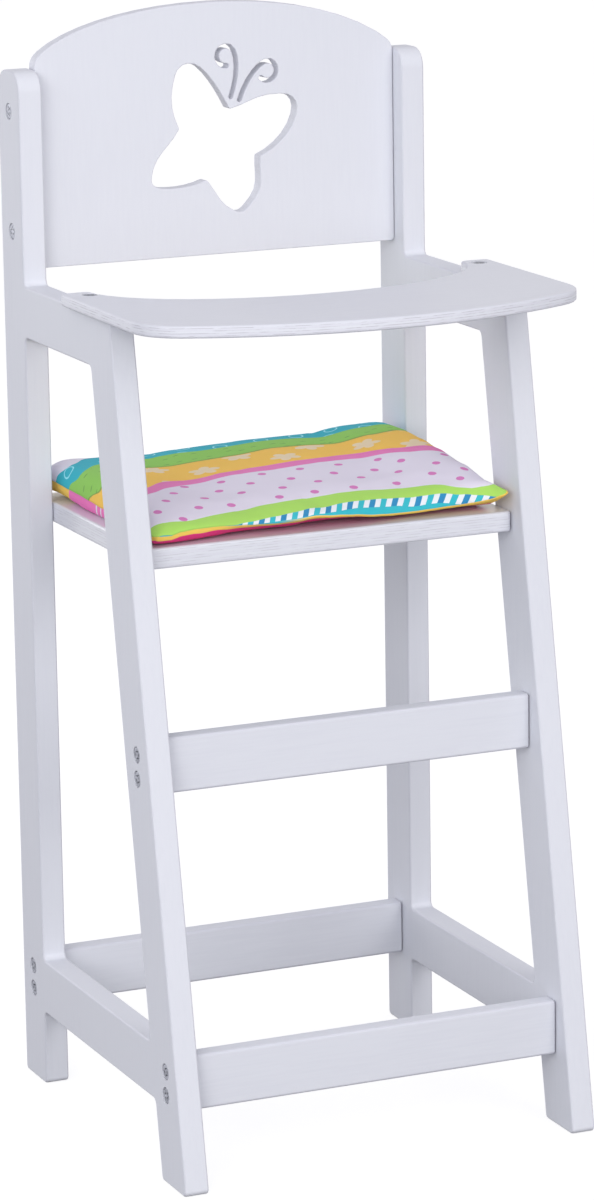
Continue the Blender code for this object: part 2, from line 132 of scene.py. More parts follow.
def wobble(vector, scale, detail, amount):
    return times(minus(noiseAt(vector, scale, detail), 0.5), amount)


def splitXyz(vector):
    return add("ShaderNodeSeparateXYZ", [vector])


def joinXyz(*xyz):
    return add("ShaderNodeCombineXYZ", xyz)[0]


def coordinate(tree, kind="Object"):
    return add("ShaderNodeTexCoord", tree=tree)[kind]


def meshValue(tree, name):
    return add("ShaderNodeAttribute", tree=tree, attribute_name=name)["Fac"]


def seenDirectly(tree):  # 1 for rays from the camera, also by way of a gloss or through glass
    rays = add("ShaderNodeLightPath", tree=tree)
    return chain("MAXIMUM", rays["Is Camera Ray"], rays["Is Glossy Ray"], rays["Is Transmission Ray"])


def bumpFrom(height, strength, distance):
    return add("ShaderNodeBump", {"Strength": strength, "Distance": distance, "Height": height})[0]


def newGroup(name, inputs, outputs, treeKind="ShaderNodeTree"):
    group = bpy.data.node_groups.new(name, treeKind)
    for way, sockets in (("INPUT", inputs), ("OUTPUT", outputs)):
        for label, kind, *value in sockets:
            socket = group.interface.new_socket(label, in_out=way, socket_type="NodeSocket" + kind)
            if value:
                socket.default_value = value[0]
    return group, add("NodeGroupInput", tree=group), group.nodes.new("NodeGroupOutput").inputs


def useGroup(group, values):
    return add("ShaderNodeGroup", values, node_tree=group)


def newMaterial(name):
    material = bpy.data.materials.new(name)
    material.use_nodes = True
    return material, material.node_tree, material.node_tree.nodes["Principled BSDF"]


# Shader groups that several finishes share

filmLook = {"cloudScale": 9.0, "toneGrain": 0.6, "toneCloud": 0.4, "heightGrain": 0.55,
            "heightFilm": 0.45}
wearLook = {"scale": 160.0, "limit": 0.86, "limitDrop": 0.3, "soft": 0.06, "line": 0.8}
plyLook = {"waver": 0.5 * mm, "waverScale": 35.0, "line": (0.36, 0.47), "side": (0.35, 0.15),
           "breakStretch": (1, 1, 6), "breakScale": 120.0, "broken": (0.42, 0.6)}
weaveLook = {"slubScale": 1400.0, "slubHeight": 0.3, "toneThread": 0.5, "toneSlub": 0.5}


def paintFilmGroup():
    look = filmLook
    group, given, out = newGroup("paintFilm", [
        ("Point", "Vector"), ("Grain Stretch", "Vector", (1, 1, 1)),
        ("Grain Scale", "Float", 700), ("Film Scale", "Float", 900)],
        [("Tone", "Float"), ("Height", "Float"), ("Cloud", "Float")])
    grainPoint = vectorCalc("MULTIPLY", given["Point"], given["Grain Stretch"])
    grain = noiseAt(grainPoint, given["Grain Scale"], 4.0, 0.6)
    film = noiseAt(given["Point"], given["Film Scale"], 2.0, 0.5)
    cloud = noiseAt(given["Point"], look["cloudScale"], 2.0, 0.5)
    feedAll(out, {
        "Tone": weighted((grain, look["toneGrain"]), (cloud, look["toneCloud"])),
        "Height": weighted((grain, look["heightGrain"]), (film, look["heightFilm"])),
        "Cloud": cloud})
    return group


def edgeWearGroup():
    look = wearLook
    group, given, out = newGroup("edgeWear", [
        ("Point", "Vector"), ("Edge", "Float", 0.0), ("Amount", "Float", 0.5)],
        [("Worn", "Float"), ("Line", "Float")])
    patches = noiseAt(given["Point"], look["scale"], 4.0, 0.7)
    limit = minus(look["limit"], times(given["Amount"], look["limitDrop"]))
    worn = ramp(patches, limit, plus(limit, look["soft"]))
    feedAll(out, {"Worn": times(worn, given["Edge"]), "Line": times(given["Edge"], look["line"])})
    return group


def plyGroup():
    # plies show as fine dark lines where a board's edge was cut; Depth runs through the board
    look = plyLook
    group, given, out = newGroup("plyLines", [
        ("Point", "Vector"), ("Depth", "Float", 0.0), ("Facing", "Float", 0.0),
        ("Ply Thickness", "Float", 0.0012)],
        [("Line", "Float"), ("Layer", "Float")])
    waver = wobble(given["Point"], look["waverScale"], 2.0, look["waver"])
    place = calc("DIVIDE", plus(given["Depth"], waver), given["Ply Thickness"])
    middle = sizeOf(minus(calc("FRACT", place), 0.5))
    breaks = noiseAt(vectorCalc("MULTIPLY", given["Point"], look["breakStretch"]), look["breakScale"])
    side = ramp(given["Facing"], *look["side"])  # 1 on the cut edge, 0 on the board's faces
    layer = calc("MODULO", calc("FLOOR", place), 2.0)
    feedAll(out, {
        "Line": times(ramp(middle, *look["line"]), ramp(breaks, *look["broken"]), side),
        "Layer": times(sizeOf(layer), side)})
    return group


def weaveGroup():
    # plain weave: warp and weft threads that pass over each other
    look = weaveLook
    group, given, out = newGroup("plainWeave", [
        ("Place", "Vector"), ("Thread Pitch", "Float", 0.00042)],
        [("Height", "Float"), ("Tone", "Float")])
    sines = [calc("SINE", times(calc("DIVIDE", axis, given["Thread Pitch"]), math.pi))
             for axis in splitXyz(given["Place"])[:2]]
    over = calc("GREATER_THAN", times(*sines), 0.0)
    thread = add("ShaderNodeMix", {0: over, 2: sizeOf(sines[0]), 3: sizeOf(sines[1])})[0]
    slub = noiseAt(given["Place"], look["slubScale"], 2.0)
    feedAll(out, {
        "Height": plus(thread, times(slub, look["slubHeight"])),
        "Tone": weighted((thread, look["toneThread"]), (slub, look["toneSlub"]))})
    return group


paintFilm = paintFilmGroup()
edgeWear = edgeWearGroup()
plyLines = plyGroup()
plainWeave = weaveGroup()
print("shader groups built")


# White paint on the boards

paintLook = {
    "colour": srgb(223, 225, 232), "shade": srgb(200, 202, 214), "edge": srgb(196, 194, 206),
    "wornThrough": srgb(205, 196, 186), "plyLine": srgb(168, 164, 174), "plyLayer": srgb(214, 214, 224),
    # painted shadow colour for the gaps where the boards meet the frames
    "gapShadow": srgb(96, 82, 92),
    "stretch": (1, 1, 1), "grain": 0.10, "grainTone": (0.42, 0.68), "roughness": 0.50, "cloudRough": 0.12,
    "gloss": 0.25, "bump": 0.12, "bumpDepth": 0.2 * mm,
    "wear": 0.45, "edgeDark": 0.35, "wornShare": 0.5,
    "plyAxis": None, "plyBase": 0.0, "ply": 1.2 * mm, "layerDark": 0.35, "lineDark": 0.55, "lineDepth": 0.8,
    # painted shadow at the board ends: where it stops, its share, its reach and the faces it falls on
    "endAt": None, "jointDark": 0.75, "gapShadeReach": (1.0 * mm, 0.3 * mm), "gapShadeFacing": (0.3, 0.6),
}


def boardPaint(name, **changes):
    look = {**paintLook, **changes}
    material, tree, shader = newMaterial(name)
    point = coordinate(tree)
    film = useGroup(paintFilm, {"Point": point, "Grain Stretch": look["stretch"]})
    wear = useGroup(edgeWear, {"Point": point, "Edge": meshValue(tree, "edge"), "Amount": look["wear"]})
    colour = tinted(look["colour"], look["shade"], ramp(film["Tone"], *look["grainTone"]), look["grain"])
    colour = tinted(colour, look["edge"], wear["Line"], look["edgeDark"])
    height = film["Height"]
    if look["plyAxis"] is not None:
        facing = sizeOf(splitXyz(coordinate(tree, "Normal"))[look["plyAxis"]])
        depth = minus(splitXyz(point)[look["plyAxis"]], look["plyBase"])
        plies = useGroup(plyLines, {"Point": point, "Depth": depth, "Facing": facing,
                                    "Ply Thickness": look["ply"]})
        colour = tinted(colour, look["plyLayer"], plies["Layer"], look["layerDark"])
        colour = tinted(colour, look["plyLine"], plies["Line"], look["lineDark"])
        height = minus(height, times(plies["Line"], look["lineDepth"]))
    colour = tinted(colour, look["wornThrough"], wear["Worn"], look["wornShare"])
    if look["endAt"] is not None:  # painted shadow: the front and rear faces darken near the board's ends, for the shadow in the gap where the board meets the frames
        fromEnd = minus(look["endAt"], sizeOf(splitXyz(point)[0]))
        turned = sizeOf(splitXyz(coordinate(tree, "Normal"))[1])
        colour = tinted(colour, look["gapShadow"], ramp(fromEnd, *look["gapShadeReach"]),
                        ramp(turned, *look["gapShadeFacing"]), look["jointDark"])
    feedAll(shader.inputs, {
        "Base Color": colour, "Specular IOR Level": look["gloss"],
        "Roughness": plus(look["roughness"], times(film["Cloud"], look["cloudRough"])),
        "Normal": bumpFrom(height, look["bump"], look["bumpDepth"])})
    return material


seatBox, trayBox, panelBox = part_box("seat_board"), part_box("tray"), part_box("back_panel")
uprightPaint = boardPaint("uprightPaint", stretch=(1, 1, 0.05))
railPaint = boardPaint("railPaint", stretch=(0.05, 1, 1), grain=0.14, endAt=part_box("front_rail")[1][0],
                       jointDark=0.45)
seatPaint = boardPaint("seatPaint", stretch=(0.05, 1, 1), grain=0.16, plyAxis=2, plyBase=seatBox[0][2],
                       ply=0.0013, gloss=0.55, roughness=0.24, endAt=seatBox[1][0])
trayPaint = boardPaint("trayPaint", stretch=(0.06, 1, 1), grain=0.12, plyAxis=2, plyBase=trayBox[0][2],
                       gloss=0.36, roughness=0.42, lineDark=0.8)
panelPaint = boardPaint("panelPaint", stretch=(1, 1, 0.07), grain=0.08, plyAxis=1, plyBase=panelBox[0][1],
                        ply=0.00133)


# Boards: merged copies of the routed solids, with smooth edges and a mask along each rounded edge

boardSet = [
    (uprightPaint, "white_paint", ["left_side_frame", "right_side_frame"]),
    (railPaint, "white_paint", ["rear_rail", "front_rail", "footrest_rail"]),
    (panelPaint, "painted_plywood", ["back_panel"]),
    (seatPaint, "painted_plywood", ["seat_board"]),
    (trayPaint, "painted_plywood", ["tray"]),
]
boardShape = {"joinWithin": 0.00002, "flatWithin": math.radians(0.5), "narrow": 0.00078,
              "crease": math.radians(38)}


def linkPiece(name, content):
    piece = bpy.data.objects.new(name, content)
    bpy.context.scene.collection.objects.link(piece)
    return piece


def meshFrom(shape, name):
    mesh = bpy.data.meshes.new(name)
    shape.to_mesh(mesh)
    shape.free()
    return mesh


def plainMesh(piece):
    # the evaluated result as a plain mesh, with no modifier left
    bpy.context.view_layer.update()
    ready = piece.evaluated_get(bpy.context.evaluated_depsgraph_get())
    mesh = bpy.data.meshes.new_from_object(ready)
    mesh.name = piece.name
    piece.modifiers.clear()
    piece.data = mesh


def faceWidth(face):
    longest = max(edge.calc_length() for edge in face.edges)
    return face.calc_area() / longest if longest else 0


def dressBoard(nodeName, material):
    shape = bmesh.new()
    shape.from_mesh(nodes[nodeName].data)
    bmesh.ops.remove_doubles(shape, verts=shape.verts, dist=boardShape["joinWithin"])
    bmesh.ops.dissolve_limit(shape, angle_limit=boardShape["flatWithin"], verts=shape.verts,
                             edges=shape.edges, use_dissolve_boundaries=False)
    edgeLayer = shape.verts.layers.float.new("edge")
    widths = {face: faceWidth(face) for face in shape.faces}
    for vert in shape.verts:
        vert[edgeLayer] = float(all(widths[face] < boardShape["narrow"] for face in vert.link_faces))
    mesh = meshFrom(shape, nodeName + "_board")
    mesh.shade_smooth()
    mesh.set_sharp_from_angle(angle=boardShape["crease"])
    mesh.materials.clear()
    mesh.materials.append(material)
    board = linkPiece(nodeName + "_board", mesh)
    board.modifiers.new("weigh", "WEIGHTED_NORMAL").keep_sharp = True
    plainMesh(board)
    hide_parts(nodeName)
    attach(board, "chair")


for material, slotName, nodeNames in boardSet:
    for nodeName in nodeNames:
        dressBoard(nodeName, material)
print("boards dressed")


# Beech dowels, hidden in the boards

beechLook = {"stretch": (0.04, 1, 1), "grainScale": 1500.0, "grainTone": (0.38, 0.66), "roughness": 0.62,
             "light": srgb(214, 176, 132), "dark": srgb(178, 132, 88), "bump": 0.3, "bumpDepth": 0.2 * mm}


def beechWood():
    look = beechLook
    material, tree, shader = newMaterial("beechWood")
    film = useGroup(paintFilm, {"Point": coordinate(tree), "Grain Stretch": look["stretch"],
                                "Grain Scale": look["grainScale"]})
    feedAll(shader.inputs, {
        "Base Color": tinted(look["light"], look["dark"], ramp(film["Tone"], *look["grainTone"])),
        "Roughness": look["roughness"],
        "Normal": bumpFrom(film["Height"], look["bump"], look["bumpDepth"])})
    return material


beech = beechWood()
for nodeName, node in nodes.items():
    if nodeName.endswith("_seat_dowel"):
        for slot in node.material_slots:
            slot.material = beech
print("dowels done")


# Wood screws with a cross recess

screwShape = {
    "headRadius": 4.0 * mm, "easing": 0.45 * mm, "easingDepth": 0.22 * mm, "rim": 0.4 * mm,
    "coneDepth": 2.0 * mm, "shankRadius": 2.0 * mm, "tip": 4.0 * mm, "tipRadius": 0.15 * mm,
    "crossSpan": 2.35 * mm, "crossWidth": 0.62 * mm, "crossDepth": 1.9 * mm, "crossTaper": 0.42,
    "crossPoint": 0.35, "crossCorner": 1.05, "sides": 36, "shankSides": 14, "turnSeed": 7,
    "crease": math.radians(32),
}
zincLook = {
    # the recess colour is painted shade for the cross recess and the ring round the head
    "light": srgb(166, 168, 178), "dark": srgb(138, 140, 150), "grime": srgb(46, 46, 54),
    "recessShadeShare": 0.9, "cloudScale": 420.0, "cloudTone": (0.35, 0.65), "streakScale": 2600.0,
    "streakRough": (0.3, 0.7, 0.40, 0.58), "bump": 0.15, "bumpDepth": 0.05 * mm,
}


def zincPlate():
    look = zincLook
    material, tree, shader = newMaterial("zincPlate")
    point = coordinate(tree)
    streak = noiseAt(point, look["streakScale"])
    cloud = ramp(noiseAt(point, look["cloudScale"], 2.0), *look["cloudTone"])
    colour = tinted(look["light"], look["dark"], cloud)
    # painted shade: the grime attribute darkens the cross recess and the ring round the head
    colour = tinted(colour, look["grime"], meshValue(tree, "grime"), look["recessShadeShare"])
    feedAll(shader.inputs, {
        "Base Color": colour, "Metallic": 1.0, "Roughness": ramp(streak, *look["streakRough"]),
        "Normal": bumpFrom(streak, look["bump"], look["bumpDepth"])})
    return material


def crossOutline():
    span, width, corner = screwShape["crossSpan"], screwShape["crossWidth"], screwShape["crossCorner"]
    points = []
    for arm in range(4):
        angle = 2 * math.pi * arm / 4
        along = Vector((math.cos(angle), math.sin(angle)))
        across = Vector((-along.y, along.x))
        points.append(along * span - across * width)
        points.append(along * (span + width * screwShape["crossPoint"]))
        points.append(along * span + across * width)
        points.append(along * width * corner + across * width * corner)
    return points


def screwHead(name):
    # head face at zero, the shank side towards +Z
    given = screwShape
    shape = bmesh.new()
    grime = shape.verts.layers.float.new("grime")  # painted shade: dark in the recess and round the head's rim, where shade falls

    def ring(points, height):
        made = [shape.verts.new((p.x, p.y, height)) for p in points]
        for i in range(len(made)):
            shape.edges.new((made[i - 1], made[i]))
        return made

    def circle(radius):
        turns = [2 * math.pi * step / given["sides"] for step in range(given["sides"])]
        return [Vector((radius * math.cos(a), radius * math.sin(a))) for a in turns]

    def wall(outer, inner):
        for i in range(len(outer)):
            shape.faces.new((outer[i - 1], outer[i], inner[i], inner[i - 1]))

    def edgesOf(loop):
        return [shape.edges.get((loop[i - 1], loop[i])) for i in range(len(loop))]

    rings = [ring(circle(radius), height) for radius, height in (
        (given["headRadius"] - given["easing"], 0.0), (given["headRadius"], given["easingDepth"]),
        (given["headRadius"], given["rim"]),
        (given["shankRadius"], given["rim"] + given["coneDepth"]))]
    for outer, inner in zip(rings, rings[1:]):
        wall(outer, inner)
    shape.faces.new(rings[-1])
    lip = ring(crossOutline(), 0.0)
    floor = ring([p * given["crossTaper"] for p in crossOutline()], given["crossDepth"])
    wall(lip, floor)
    shape.faces.new(floor)
    bmesh.ops.triangle_fill(shape, use_beauty=True, edges=edgesOf(rings[0]) + edgesOf(lip))
    # painted shade: the recess floor and the head's rim and cone are marked dark
    for vert in floor + [vert for outer in rings[1:] for vert in outer]:
        vert[grime] = 1.0
    bmesh.ops.recalc_face_normals(shape, faces=shape.faces)
    return linkPiece(name, meshFrom(shape, name))


def screwTree():
    tree, given, out = newGroup("driveScrews", [
        ("Geometry", "Geometry"), ("Head", "Object"), ("Shank Radius", "Float"), ("Tip Length", "Float"),
        ("Tip Radius", "Float"), ("Shank Sides", "Int"), ("Turn Seed", "Int"), ("Finish", "Material")],
        [("Geometry", "Geometry")], "GeometryNodeTree")

    def attribute(name, kind):
        return add("GeometryNodeInputNamedAttribute", {"Name": name}, tree, data_type=kind)["Attribute"]

    def placed(geometry, scale=None):
        return add("GeometryNodeInstanceOnPoints", {
            "Points": given["Geometry"], "Instance": geometry, "Rotation": rotate[0], "Scale": scale})[0]

    aim = attribute("aim", "FLOAT_VECTOR")
    align = add("FunctionNodeAlignRotationToVector", {"Vector": aim}, axis="Z")
    turn = add("FunctionNodeRandomValue", {2: 0.0, 3: 2 * math.pi, "Seed": given["Turn Seed"]},
               data_type="FLOAT")
    spin = add("FunctionNodeAxisAngleToRotation", {"Axis": (0, 0, 1), "Angle": turn[1]})
    rotate = add("FunctionNodeRotateRotation", {"Rotation": align[0], "Rotate By": spin[0]},
                 rotation_space="LOCAL")
    straight = minus(attribute("reach", "FLOAT"), given["Tip Length"])
    head = add("GeometryNodeObjectInfo", {"Object": given["Head"]})
    shank = add("GeometryNodeMeshCylinder", {
        "Depth": 1.0, "Vertices": given["Shank Sides"], "Radius": given["Shank Radius"]})
    lift = add("GeometryNodeTransform", {"Geometry": shank["Mesh"], "Translation": (0, 0, 0.5)})
    tip = add("GeometryNodeMeshCone", {
        "Radius Top": given["Tip Radius"], "Vertices": given["Shank Sides"],
        "Radius Bottom": given["Shank Radius"], "Depth": given["Tip Length"]})
    tipAtEnd = add("GeometryNodeTranslateInstances", {
        "Instances": placed(tip["Mesh"]), "Translation": joinXyz(0.0, 0.0, straight)})
    join = tree.nodes.new("GeometryNodeJoinGeometry")
    for part in (placed(head["Geometry"]), placed(lift[0], joinXyz(1.0, 1.0, straight)), tipAtEnd[0]):
        tree.links.new(part, join.inputs[0])
    realize = add("GeometryNodeRealizeInstances", [join.outputs[0]])
    finish = add("GeometryNodeSetMaterial", {"Geometry": realize[0], "Material": given["Finish"]})
    feed(out["Geometry"], finish[0])
    return tree


def setInputs(modifier, values):
    for item in modifier.node_group.interface.items_tree:
        if item.item_type == "SOCKET" and item.in_out == "INPUT" and item.name in values:
            modifier[item.identifier] = values[item.name]


def screwPoint(nodeName):
    low, high = [Vector(corner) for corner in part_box(nodeName)]
    middle = (low + high) / 2
    if "tray" in nodeName:
        return Vector((middle.x, middle.y, high.z)), Vector((0, 0, -1)), high.z - low.z
    side = -1 if nodeName.startswith("left") else 1
    outer = low.x if side < 0 else high.x
    return Vector((outer, middle.y, middle.z)), Vector((-side, 0, 0)), high.x - low.x


def driveScrews():
    given = screwShape
    names = sorted(name for name in nodes if "screw" in name)
    places, aims, reaches = zip(*[screwPoint(name) for name in names])
    mesh = bpy.data.meshes.new("screws")
    mesh.from_pydata(places, [], [])
    aimData = mesh.attributes.new("aim", "FLOAT_VECTOR", "POINT").data
    aimData.foreach_set("vector", [part for aim in aims for part in aim])
    mesh.attributes.new("reach", "FLOAT", "POINT").data.foreach_set("value", reaches)
    screws = linkPiece("screws", mesh)
    head = screwHead("screwHeadShape")
    modifier = screws.modifiers.new("driveScrews", "NODES")
    modifier.node_group = screwTree()
    setInputs(modifier, {"Head": head, "Shank Radius": given["shankRadius"], "Tip Length": given["tip"],
                         "Tip Radius": given["tipRadius"], "Shank Sides": given["shankSides"],
                         "Turn Seed": given["turnSeed"], "Finish": zincPlate()})
    plainMesh(screws)
    bpy.data.objects.remove(head, do_unlink=True)
    screws.data.shade_smooth()
    screws.data.set_sharp_from_angle(angle=given["crease"])
    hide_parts(*names)
    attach(screws, "chair")
    return screws


print("screws driven:", len(driveScrews().data.polygons), "faces")


# Seat cushion

cushionShape = {
    "columns": 88, "rows": 74, "cornerRadius": 5 * mm, "halfDepth": 78 * mm,
    "leftEdge": -94.6, "rightEdge": 94.7, "rearEdge": -4.6, "sideDrawIn": 2.4 * mm,
    "rearDrawIn": 1.6 * mm, "clearSeat": 0.3 * mm,
    "leftRoll": 10 * mm, "rightRoll": 6 * mm, "rearRoll": 8 * mm, "frontRoll": 16 * mm,
    "acrossRise": 13 * mm, "alongRise": 11 * mm,  # heights that the grid's spacing allows for
    "leftBelly": 3.5 * mm, "rightBelly": 6 * mm, "rearBelly": 6 * mm,
    "sideSeam": 7.0, "rightLift": 1.2, "frontHoverWithin": 34 * mm, "leftHoverWithin": 24 * mm,
    "cornerFrom": 0.55, "cornerOver": 0.4, "liftFrom": 0.2, "liftOver": 0.6,  # shares of the half span
    # height, scale and seed of the unevenness of the seam, the top and the creases along the seam
    "seamWaver": (0.35 * mm, 60, 3.1), "topWaver": (0.3 * mm, 26, 8.4), "puckers": (0.5 * mm, 95, 5.7),
    "puckerWithin": 9 * mm, "swellWithin": 55 * mm, "startLow": (0.9 * mm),
    "fill": 0.65, "pressure": 0.6, "frames": 18, "quality": 6, "cap": 4.0 * mm, "spareCloth": 0.001,
    "bending": 0.2,
}
# along the front from left to right, in mm: place of the edge counted from the posts' rear, height of
# the seam above the seat, how far back the top takes to roll up from it and the underside to come down,
# how round the underside starts, from 0 to 1, and its height over the seat
frontColumns = ("across", "edge", "lift", "topRoll", "underRoll", "belly", "hover")
cushionFront = [
    (-95, -156, 5.6, 32, 5, 1.0, 1.6), (-84, -155, 5.3, 32, 5, 1.0, 1.0),
    (-79, -154.5, 6.5, 32, 5, 1.0, 1.0), (-70, -153.5, 7.0, 32, 6, 1.0, 1.0),
    (-60, -153.2, 7.1, 32, 8, 0.8, 1.4), (-48, -153, 6.5, 31, 12, 0.4, 2.2),
    (-39, -153.5, 6.2, 30, 16, 0.2, 1.8), (-28, -154, 5.8, 29, 20, 0.1, 1.0),
    (-18, -154.2, 6.0, 27, 20, 0, 0.6), (-8, -154.3, 6.8, 25, 24, 0, 1.8),
    (4, -154.2, 5.9, 22, 26, 0, 2.3), (13, -153.3, 5.05, 20, 26, 0, 1.9),
    (25, -152.5, 3.7, 17, 26, 0, 1.0), (34, -151.5, 3.1, 16, 24, 0, 0.6),
    (46, -151, 3.0, 14, 22, 0, 0.4), (55, -151.3, 3.3, 13, 22, 0, 0.6),
    (67, -152, 4.0, 11, 20, 0, 1.4), (77, -153, 4.8, 10, 18, 0, 2.4),
    (86, -155, 5.9, 8, 16, 0, 3.5), (91, -158.5, 8.1, 8, 14, 0, 5.2), (95, -161.5, 10.3, 7, 12, 0, 7.2)]
# height of the seam above the seat along the left side, by place counted from the posts' rear
leftSeam = [(-157, 5.6), (-120, 6.6), (-84, 6.4), (-66, 7.3), (-53, 7.8), (-40, 8.0), (-29, 8.6),
            (-20, 9.0), (-4, 9.4)]
# height of the top above the seat along the rear, by place from left to right
crownAcross = [(-95, 17.2), (-81, 17.8), (-66, 17.0), (-42, 16.3), (-26, 17.5), (-8, 18.2),
               (15, 19.3), (45, 19.0), (68, 21.9), (81, 22.4), (95, 21.0)]
# share of it that is left, from front to rear, at the left edge and at the right
crownAlong = [(-160, 0.66, 0.62), (-144, 0.76, 0.66), (-119, 0.88, 0.84), (-91, 0.96, 0.98),
              (-71, 0.98, 1.06), (-45, 0.99, 1.11), (-25, 1.0, 1.09), (-12, 1.0, 0.98)]
# height of the underside over the seat along the left side
leftHover = [(-55, 0), (-42, 1.2), (-29, 2.5), (-20, 3.0), (-4, 2.6)]
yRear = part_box("left_side_frame")[1][1]  # rear face of the posts


def smooth(value):
    value = min(max(value, 0), 1)
    return value * value * (3 - 2 * value)


def table(rows, value, column=1):
    if value <= rows[0][0]:
        return rows[0][column]
    for low, high in zip(rows, rows[1:]):
        if value <= high[0]:
            share = smooth((value - low[0]) / (high[0] - low[0]))
            return low[column] + (high[column] - low[column]) * share
    return rows[-1][column]


def frontAt(x, name):
    return table(cushionFront, x / mm, frontColumns.index(name))


def rollShare(distance, width):
    share = min(max(distance / width, 0), 1)
    return math.sqrt(1 - (1 - share) ** 2)


def waver(x, y, name):
    height, scale, seed = cushionShape[name]
    return height * noise.noise(Vector((x * scale, y * scale, seed)))


def evenSteps(count, length, firstRoll, lastRoll, height):
    # places from -1 to 1 that are evenly apart along a profile that rolls up from both ends
    samples = 4000
    reach = [length * i / samples for i in range(samples + 1)]
    profile = [height * rollShare(x, firstRoll) * rollShare(length - x, lastRoll) for x in reach]
    total = [0]
    for i in range(samples):
        total.append(total[-1] + math.hypot(reach[i + 1] - reach[i], profile[i + 1] - profile[i]))
    wanted = np.linspace(0, total[-1], count + 1)
    return [2 * x / length - 1 for x in np.interp(wanted, total, reach)]


def walked(points):  # distance from the first point to each one
    return [0, *accumulate((b.co - a.co).length for a, b in zip(points, points[1:]))]


